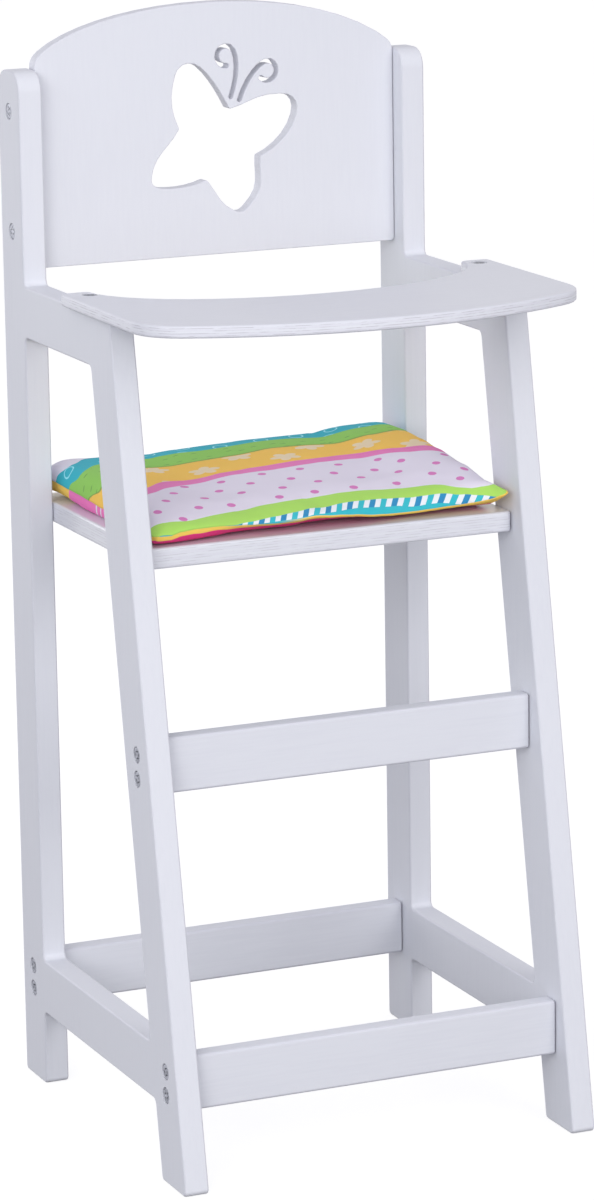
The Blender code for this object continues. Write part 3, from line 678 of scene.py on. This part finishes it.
def cushionMesh():
    given = cushionShape
    seat = seatBox[1][2]
    left, right = given["leftEdge"] * mm, given["rightEdge"] * mm
    rear = yRear + given["rearEdge"] * mm
    columns, rows = given["columns"], given["rows"]
    halfX, halfY = (right - left) / 2, given["halfDepth"]

    def plan(u, v):
        # u and v run from -1 to 1, left to right and front to rear; corners slightly rounded
        corner = given["cornerRadius"]
        x, y = halfX * u, halfY * v
        overX, overY = max(abs(x) - halfX + corner, 0), max(abs(y) - halfY + corner, 0)
        reach, longest = math.hypot(overX, overY), max(overX, overY)
        if reach > 0:
            x = math.copysign(min(abs(x), halfX - corner) + overX * longest / reach, u)
            y = math.copysign(min(abs(y), halfY - corner) + overY * longest / reach, v)
        x -= math.copysign(given["sideDrawIn"] * (1 - v * v) * abs(u) ** 3, u)
        x += (left + right) / 2
        front = yRear + frontAt(x, "edge") * mm
        back = rear - given["rearDrawIn"] * (1 - u * u)
        share = (y / halfY + 1) / 2
        return x, front + (back - front) * share

    def seamHeight(u, v, x, y):
        # a knife-edge seam that waves a little; the front right corner is lifted
        toFront, toLeft, toRight = [smooth((side - given["cornerFrom"]) / given["cornerOver"])
                                    for side in (-v, -u, u)]
        sideLift = given["sideSeam"] + (table(leftSeam, (y - yRear) / mm) - given["sideSeam"]) * toLeft
        sideLift += given["rightLift"] * toRight * smooth((-v - given["liftFrom"]) / given["liftOver"])
        lift = sideLift + (frontAt(x, "lift") - sideLift) * toFront
        return lift * mm + waver(x, y, "seamWaver")

    def topHeight(x, y):
        crown = table(crownAcross, x / mm) * mm
        side = smooth((x - left) / (right - left))
        depth = (y - yRear) / mm
        crown *= table(crownAlong, depth, 1) * (1 - side) + table(crownAlong, depth, 2) * side
        return crown + waver(x, y, "topWaver")

    across = evenSteps(columns, 2 * halfX, given["leftRoll"], given["rightRoll"], given["acrossRise"])
    along = evenSteps(rows, 2 * halfY, given["frontRoll"], given["rearRoll"], given["alongRise"])
    shape = bmesh.new()
    rim = shape.verts.layers.float.new("rim")
    top, bottom = {}, {}
    for row, v in enumerate(along):
        for column, u in enumerate(across):
            x, y = plan(u, v)
            toLeft, toRight = halfX * (1 + u), halfX * (1 - u)
            toFront, toRear = halfY * (1 + v), halfY * (1 - v)
            share = (rollShare(toLeft, given["leftRoll"]) * rollShare(toRight, given["rightRoll"])
                     * rollShare(toFront, frontAt(x, "topRoll") * mm)
                     * rollShare(toRear, given["rearRoll"]))
            seam = seamHeight(u, v, x, y)
            nearest = min(toLeft, toRight, toFront, toRear)
            ripple = waver(x, y, "puckers")
            ripple *= math.exp(-nearest / given["puckerWithin"]) * min(share * 3, 1)
            # the middle starts this much lower and swells by about as much
            low = given["startLow"] * smooth(nearest / given["swellWithin"])
            high = topHeight(x, y) - low - seam
            top[column, row] = shape.verts.new((x, y, seat + seam + high * share + ripple))
            if column in (0, columns) or row in (0, rows):
                bottom[column, row] = top[column, row]
                continue
            turn, belly = frontAt(x, "underRoll") * mm, frontAt(x, "belly")
            gentle = 1 - max(1 - toFront / turn, 0) ** 2
            down = rollShare(toFront, turn) * belly + gentle * (1 - belly)
            down *= rollShare(toLeft, given["leftBelly"]) * rollShare(toRight, given["rightBelly"])
            down *= rollShare(toRear, given["rearBelly"])
            nearFront = max(1 - toFront / given["frontHoverWithin"], 0)
            nearLeft = max(1 - toLeft / given["leftHoverWithin"], 0)
            hover = frontAt(x, "hover") * mm * nearFront ** 2
            hover += table(leftHover, (y - yRear) / mm) * mm * nearLeft ** 2
            rest = given["clearSeat"] + hover
            bottom[column, row] = shape.verts.new((x, y, seat + seam - (seam - rest) * down))
    uvLayer = shape.loops.layers.uv.new("print")
    # the print follows the cloth: distance along the surface from the middle and from the rear
    alongX, alongY = {}, {}
    for name, sheet in ((0, top), (1, bottom)):
        for row in range(rows + 1):
            far = walked([sheet[column, row] for column in range(columns + 1)])
            for column in range(columns + 1):
                alongX[name, column, row] = far[column] - far[columns // 2]
        for column in range(columns + 1):
            far = walked([sheet[column, row] for row in range(rows, -1, -1)])
            for row in range(rows + 1):
                alongY[name, column, row] = far[rows - row]
        for (column, row), point in sheet.items():  # distance over the cloth to the nearest seam
            placeX, placeY = alongX[name, column, row], alongY[name, column, row]
            point[rim] = min(placeX - alongX[name, 0, row], alongX[name, columns, row] - placeX,
                             placeY, alongY[name, column, 0] - placeY)
    for row in range(rows):
        for column in range(columns):
            corners = [(column, row), (column + 1, row), (column + 1, row + 1), (column, row + 1)]
            for name, sheet, order in ((0, top, corners), (1, bottom, corners[::-1])):
                face = shape.faces.new([sheet[corner] for corner in order])
                face.material_index = name
                face.smooth = True
                for loop, corner in zip(face.loops, order):
                    loop[uvLayer].uv = (alongX[(name, *corner)], alongY[(name, *corner)])
    bmesh.ops.recalc_face_normals(shape, faces=shape.faces)
    return meshFrom(shape, "cushion")


def inflate(piece):
    # the upper cloth is cut a little larger than its frame and blown up; the seam and underside stay
    given, mesh, scene = cushionShape, piece.data, bpy.context.scene
    upper, under = [{index for face in mesh.polygons if face.material_index == side
                     for index in face.vertices} for side in (0, 1)]
    held = piece.vertex_groups.new(name="held")
    held.add(sorted(under), 1.0, "REPLACE")
    start = np.empty(len(mesh.vertices) * 3)
    mesh.vertices.foreach_get("co", start)
    cloth = piece.modifiers.new("inflate", "CLOTH")
    settings = cloth.settings
    settings.quality = given["quality"]
    settings.vertex_group_mass = "held"
    settings.use_pressure = True
    settings.uniform_pressure_force = given["pressure"]
    settings.shrink_min = -given["spareCloth"]
    settings.bending_stiffness = given["bending"]
    settings.effector_weights.gravity = 0
    cloth.point_cache.frame_start, cloth.point_cache.frame_end = 1, given["frames"]
    for frameNumber in range(1, given["frames"] + 1):
        scene.frame_set(frameNumber)
    blown = piece.evaluated_get(bpy.context.evaluated_depsgraph_get())
    end = np.empty_like(start)
    blown.data.vertices.foreach_get("co", end)
    piece.modifiers.remove(cloth)
    piece.vertex_groups.clear()
    scene.frame_set(1)
    moved = (end - start).reshape(-1, 3)
    reach = np.linalg.norm(moved, axis=1)
    print("cloth moved up to", round(float(reach.max()) / mm, 2), "mm, on average",
          round(float(reach[sorted(upper - under)].mean()) / mm, 2))
    moved *= np.minimum(1, given["cap"] / np.maximum(reach, 1e-9))[:, None]
    mesh.vertices.foreach_set("co", (start.reshape(-1, 3) + moved).ravel())
    mesh.update()


cushion = linkPiece("cushion", cushionMesh())
inflate(cushion)
print("cushion formed:", len(cushion.data.vertices), "points")


# The cushion's printed cotton: bands from rear to front, with dots, flowers and squares

printedEdge = (-0.12 * mm, 0.12 * mm)  # how softly a printed shape ends
printPlan = {
    # each band starts along a line over the cloth, in mm: across from the middle, then from the rear
    "bands": [
        ("turquoise", srgb(0, 182, 200),
         [(-98, 17), (-88, 25), (-75, 16), (-45, 9), (-20, 12), (20, 13), (60, 16), (98, 20)]),
        ("green", srgb(144, 210, 82),
         [(-98, 34), (-90, 43), (-77, 35), (-45, 25), (-10, 30), (30, 32), (60, 39), (98, 38)]),
        ("orange", srgb(254, 204, 76),
         [(-98, 60), (-91, 72), (-75, 62), (-55, 47), (-20, 50), (30, 50), (64, 58), (98, 58)]),
        ("pink", srgb(238, 124, 190),
         [(-98, 98), (-90, 104), (-74, 95), (-60, 84), (-35, 81), (10, 80), (45, 79), (70, 90),
          (98, 94)]),
        ("lilac", srgb(236, 230, 244),
         [(-98, 112), (-88, 113), (-78, 108), (-60, 95), (-40, 89), (10, 89), (45, 87), (70, 99),
          (98, 108)]),
        ("lime", srgb(174, 228, 92),
         [(-98, 144), (-88, 148), (-70, 148), (-45, 142), (-10, 140), (30, 140), (53, 143), (80, 157),
          (90, 157), (98, 151)]),
        ("row", srgb(24, 190, 204),
         [(-98, 154), (-80, 158), (-50, 154), (-15, 151), (20, 149), (48, 150), (67, 156.5), (82, 162),
          (98, 168)]),
    ],
    "under": [
        ("striped", srgb(250, 120, 196), [(-98, 34), (-60, 44), (98, 60)]),
        ("magenta", srgb(236, 4, 124), [(-98, 98), (-60, 90), (98, 84)]),
    ],
    "lineSpan": (220, 200),  # the mm across and along that a band's curve covers
    # the motif on a band: petals, colour, the ramp past the band's line, share and the group's inputs
    "motifs": {
        "turquoise": (0, srgb(150, 232, 244), printedEdge, 1.0, {
            "Pitch": (0.0215, 0.0120, 1), "Size": 0.0040, "Ring": 0.78, "Jitter": 0.15, "Row Shift": 0.3,
            "Start": (-0.1030, 0.0225, 0)}),
        "green": (0, srgb(80, 146, 60), (0.002, 0.004), 0.8, {
            "Pitch": (0.0085, 0.0092, 1), "Size": 0.0017, "Squash": 0.22, "Jitter": 0.6,
            "Row Shift": 0.37}),
        "orange": (5, srgb(240, 228, 206), (0.0012, 0.0020), 0.75, {
            "Pitch": (0.045, 0.0172, 1), "Size": 0.0080, "Squash": 0.9, "Jitter": 0.12,
            "Start": (-0.0780, 0.0448, 0)}),
        "lilac": (0, srgb(222, 124, 194), printedEdge, 1.0, {
            "Pitch": (0.0212, 0.0131, 1), "Size": 0.0022, "Jitter": 0.25, "Row Shift": 0.48,
            "Start": (0.0095, 0.1021, 0)}),
    },
    "squares": {"slant": 0.55, "shift": 0.2014, "pitch": 0.00309, "width": (0.5, 0.46),
                "growth": (-0.056, -0.004, 0.0006, 0.0026), "begin": (-0.050, -0.046)},
    "stripes": (36 * mm, 42 * mm, 48 * mm), "stripe": (0.0009, 0.0006), "soft": 0.1 * mm,
    "border": (0.0011, 0.0005), "borderShare": 0.75, "petalBase": 0.55, "petalReach": 0.5,
    "ground": srgb(235, 230, 244), "underGround": srgb(255, 212, 84), "hem": 2.4 * mm, "hemRight": 9 * mm,
    "hemGrows": (20 * mm, 60 * mm), "hemWaver": (60.0, 1.0, 2 * mm), "frontFrom": 0.110,
    "piping": 1.0 * mm, "pipingBegins": (-30 * mm, -10 * mm),
    "outline": srgb(104, 150, 52), "white": srgb(240, 244, 248), "blue": srgb(0, 138, 192),
    "faded": srgb(226, 222, 232), "seamShadow": srgb(60, 50, 40),
    "thread": 0.00042, "wovenFade": 0.05, "patchFade": 0.05, "patchScale": 28.0,
    # painted shade along the seam: its reach from the seam and its share on the top and on the underside
    "seamShadeReach": (0.0010, 0.0002), "seamShadeTop": 0.2, "seamShadeUnder": 0.12,
    "stitchStretch": (1, 1, 0.2), "stitchScale": 240.0, "stitchReach": (0.009, 0.001), "stitchDepth": 2.5,
    "roughness": 0.86, "gloss": 0.15, "sheen": 0.05, "sheenRoughness": 0.6, "bump": 0.3,
    "bumpDepth": 0.00014,
}


def bandLine(across, points):
    # a smooth line through the given points
    wide, deep = printPlan["lineSpan"]
    node = across.id_data.nodes.new("ShaderNodeFloatCurve")
    curve = node.mapping.curves[0]
    places = [((x + wide / 2) / wide, y / deep) for x, y in points]
    curve.points[0].location, curve.points[1].location = (0.0, places[0][1]), (1.0, places[-1][1])
    for place in places:
        curve.points.new(*place)
    node.mapping.update()
    feed(node.inputs["Value"], calc("DIVIDE", plus(across, wide / 2 * mm), wide * mm))
    return times(node.outputs["Value"], deep * mm)


def bandGroup():
    # cloth past a line takes the band's colour; the line wavers a little, as a print does
    group, given, out = newGroup("printedBand", [
        ("Place", "Vector"), ("Line", "Float", 0.0), ("Waver", "Float", 0.0016),
        ("Waver Scale", "Float", 70.0), ("Under", "Color", (1, 1, 1, 1)), ("Band", "Color", (1, 1, 1, 1))],
        [("Color", "Color"), ("Mask", "Float"), ("Past", "Float")])
    shake = wobble(given["Place"], given["Waver Scale"], 1.0, given["Waver"])
    past = minus(splitXyz(given["Place"])[1], plus(given["Line"], shake))
    mask = ramp(past, *printedEdge)
    feedAll(out, {"Color": tinted(given["Under"], given["Band"], mask), "Mask": mask, "Past": past})
    return group


def motifGroup(name, petals):
    # one motif to a cell, rows staggered, each a little out of place; petals 0 gives discs
    group, given, out = newGroup(name, [
        ("Place", "Vector"), ("Pitch", "Vector", (0.012, 0.012, 1)), ("Size", "Float", 0.002),
        ("Ring", "Float", 0.0), ("Squash", "Float", 1.0), ("Jitter", "Float", 0.2),
        ("Row Shift", "Float", 0.5), ("Start", "Vector", (0, 0, 0))],
        [("Mask", "Float")])
    apart = vectorCalc("SUBTRACT", given["Place"], given["Start"])
    across, along = splitXyz(vectorCalc("DIVIDE", apart, given["Pitch"]))[:2]
    row = calc("FLOOR", along)
    moved = plus(across, times(row, given["Row Shift"]))
    column = calc("FLOOR", moved)
    chance = add("ShaderNodeTexWhiteNoise", {"Vector": joinXyz(column, row)}, noise_dimensions="2D")
    jitter = splitXyz(chance["Color"])
    pitch = splitXyz(given["Pitch"])

    def fromCentre(value, cell, spot, size):
        centre = plus(0.5, times(minus(spot, 0.5), given["Jitter"]))
        return times(minus(value, cell, centre), size)

    def within(limit):  # 1 inside the limit
        return ramp(minus(limit, reach), *printedEdge)

    x = fromCentre(moved, column, jitter[0], pitch[0])
    y = calc("DIVIDE", fromCentre(along, row, jitter[1], pitch[1]), given["Squash"])
    reach = calc("SQRT", plus(times(x, x), times(y, y)))
    limit = given["Size"]
    if petals:
        angle = plus(calc("ARCTAN2", y, x), times(jitter[2], 6.28))
        lobes = sizeOf(calc("COSINE", times(angle, petals / 2)))
        limit = times(limit, plus(printPlan["petalBase"], times(lobes, printPlan["petalReach"])))
    hole = within(times(limit, given["Ring"]))
    feed(out["Mask"], calc("MAXIMUM", minus(within(limit), hole), 0.0))
    return group


printedBand = bandGroup()
printedMotifs = {0: motifGroup("printedDiscs", 0), 5: motifGroup("printedFlowers", 5)}


def squareRow(colour, across, past):
    # one row of squares that grow from left to right: white, blue, white, turquoise
    look, row = printPlan, printPlan["squares"]
    slanted = plus(across, times(past, row["slant"]))
    cell = calc("DIVIDE", plus(slanted, row["shift"]), row["pitch"])
    index = calc("MODULO", calc("FLOOR", cell), 4.0)
    whiteOnes = calc("COMPARE", calc("MODULO", index, 2.0), 0.0, 0.1)
    blueOnes = calc("COMPARE", index, 1.0, 0.1)
    wide = ramp(sizeOf(minus(calc("FRACT", cell), 0.5)), *row["width"])
    half = ramp(across, *row["growth"])
    tall = ramp(minus(sizeOf(minus(past, half)), half), look["soft"], -look["soft"])
    mask = times(wide, tall, ramp(across, *row["begin"]))
    colour = tinted(colour, look["white"], mask, whiteOnes)
    return tinted(colour, look["blue"], mask, blueOnes)


def printedCotton(name, underside=False):
    look = printPlan
    material, tree, shader = newMaterial(name)
    place = add("ShaderNodeUVMap", tree=tree, uv_map="print")[0]
    across, along = splitXyz(place)[:2]
    rim = meshValue(tree, "rim")
    colour = look["underGround" if underside else "ground"]
    for label, band, line in look["under" if underside else "bands"]:
        made = useGroup(printedBand, {"Place": place, "Line": bandLine(across, line), "Under": colour,
                                      "Band": band})
        colour, past = made["Color"], made["Past"]
        if label == "striped":  # three curved white lines
            for step in look["stripes"]:
                colour = tinted(colour, look["white"], ramp(sizeOf(minus(past, step)), *look["stripe"]))
        if label == "orange":
            colour = tinted(colour, look["outline"], ramp(sizeOf(past), *look["border"]),
                            look["borderShare"])
        if label == "row":
            colour = squareRow(colour, across, past)
        if label in look["motifs"]:
            petals, motifColour, start, share, inputs = look["motifs"][label]
            motif = useGroup(printedMotifs[petals], {"Place": place, **inputs})["Mask"]
            colour = tinted(colour, motifColour, motif, ramp(past, *start), share)
    front = calc("GREATER_THAN", along, look["frontFrom"])
    if underside:  # the ground colour shows again as a hem along the front
        hem = plus(wobble(place, *look["hemWaver"]),
                   ramp(across, *look["hemGrows"], look["hem"], look["hemRight"]))
        edge = times(ramp(minus(rim, hem), look["soft"], -look["soft"]), front)
    else:  # the hem's edge shows as a thin line along the front seam
        edge = times(ramp(rim, look["piping"] + look["soft"], look["piping"] - look["soft"]),
                     times(front, ramp(across, *look["pipingBegins"])))
    colour = tinted(colour, look["underGround"], edge)
    weave = useGroup(plainWeave, {"Place": place, "Thread Pitch": look["thread"]})
    patches = noiseAt(coordinate(tree), look["patchScale"], 2.0)
    faded = weighted((weave["Tone"], look["wovenFade"]), (patches, look["patchFade"]))
    colour = tinted(colour, look["faded"], faded)
    # painted shade: the cloth darkens where it dips into the seam, for the shade in the seam's groove
    colour = tinted(colour, look["seamShadow"], ramp(rim, *look["seamShadeReach"]),
                    look["seamShadeUnder" if underside else "seamShadeTop"])
    # stitches pull the cloth in along the seam, in short creases square to it
    stitches = noiseAt(vectorCalc("MULTIPLY", coordinate(tree), look["stitchStretch"]),
                       look["stitchScale"], 1.0)
    pulled = times(stitches, ramp(rim, *look["stitchReach"]), look["stitchDepth"])
    height = plus(weave["Height"], pulled)
    feedAll(shader.inputs, {
        "Base Color": colour, "Roughness": look["roughness"], "Specular IOR Level": look["gloss"],
        "Sheen Weight": look["sheen"], "Sheen Roughness": look["sheenRoughness"],
        "Normal": bumpFrom(height, look["bump"], look["bumpDepth"])})
    return material


cushion.data.materials.append(printedCotton("printedCottonTop"))
cushion.data.materials.append(printedCotton("printedCottonUnder", True))
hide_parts("seat_cushion")
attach(cushion, "cushion")
print("cushion printed")


# Floor, light and camera

stageLook = {
    "floorColour": srgb(124, 124, 128), "floorRough": 0.9, "floorGlow": 0.84, "floorSize": 14.0,
    "worldLight": 0.60, "worldTint": (0.967, 0.945, 1.01, 1),
    # name, place, aim, size, power and tint
    "lamps": [
        ("main", (-1.2, -1.4, 0.86), (0, 0, 0.36), 1.1, 13.4, (1, 1, 1)),
        ("front", (0.5, -2.0, 0.7), (0, 0, 0.36), 1.1, 8.0, (1, 1, 1)),
        ("high", (0.75, -1.75, 1.15), (0, 0, 0.33), 1.2, 6.8, (1, 1, 1)),
        ("left", (-1.9, -0.6, 1.2), (0, 0, 0.36), 1.2, 4.4, (0.86, 0.93, 1.0)),
        ("fill", (-0.7, 2.0, 0.55), (0, 0, 0.3), 1.4, 10, (1, 1, 1)),
    ],
}
# the view that fits the photograph, 594 by 1200, with its focal length in pixels
cameraFit = {"azimuth": -23.331, "elevation": 12.815, "roll": -0.917, "focal": 4667.22, "longSide": 1200,
             "sensor": 36, "aim": (0.00977, 0.03075, 0.25584), "distance": 2.3499}


def makeFloor():
    shape = bmesh.new()
    bmesh.ops.create_grid(shape, x_segments=8, y_segments=8, size=stageLook["floorSize"])
    mesh = meshFrom(shape, "floor")
    floor = linkPiece("floor", mesh)
    material, tree, shader = newMaterial("paleFloor")
    feedAll(shader.inputs, {"Base Color": stageLook["floorColour"], "Roughness": stageLook["floorRough"]})
    glow = add("ShaderNodeEmission", {"Strength": times(seenDirectly(tree), stageLook["floorGlow"])})
    both = add("ShaderNodeAddShader", [shader.outputs[0], glow[0]])
    feed(tree.nodes["Material Output"].inputs["Surface"], both[0])
    mesh.materials.append(material)


def makeWorld():
    world = bpy.data.worlds.new("studio")
    bpy.context.scene.world = world
    world.use_nodes = True
    tree = world.node_tree
    seen = seenDirectly(tree)
    feedAll(tree.nodes["Background"].inputs, {
        "Color": tinted(stageLook["worldTint"], (1, 1, 1, 1), seen),
        "Strength": ramp(seen, 0.0, 1.0, stageLook["worldLight"], 1.0)})


def addLamp(name, place, aim, size, power, tint):
    light = bpy.data.lights.new(name, "AREA")
    light.shape = "DISK"
    light.size, light.energy, light.color = size, power, tint
    lamp = linkPiece(name, light)
    lamp.location = place
    lamp.rotation_euler = (Vector(aim) - Vector(place)).to_track_quat("-Z", "Y").to_euler()


def addCamera():
    fit = cameraFit
    azimuth, elevation, roll = [math.radians(fit[turn]) for turn in ("azimuth", "elevation", "roll")]
    away = Vector((math.sin(azimuth) * math.cos(elevation),
                   -math.cos(azimuth) * math.cos(elevation), math.sin(elevation)))
    right = (-away).cross(Vector((0, 0, 1))).normalized()
    up = right.cross(-away)
    across = right * math.cos(roll) + up * math.sin(roll)
    upward = -right * math.sin(roll) + up * math.cos(roll)
    lens = bpy.data.cameras.new("camera")
    lens.lens, lens.sensor_width = fit["focal"] * fit["sensor"] / fit["longSide"], fit["sensor"]
    camera = linkPiece("camera", lens)
    place = Matrix((across, upward, away)).transposed().to_4x4()
    place.translation = Vector(fit["aim"]) + away * fit["distance"]
    camera.matrix_world = place
    bpy.context.scene.camera = camera


makeFloor()
makeWorld()
for lamp in stageLook["lamps"]:
    addLamp(*lamp)
addCamera()
bpy.context.scene.view_settings.view_transform = "Standard"

print("scene ready")
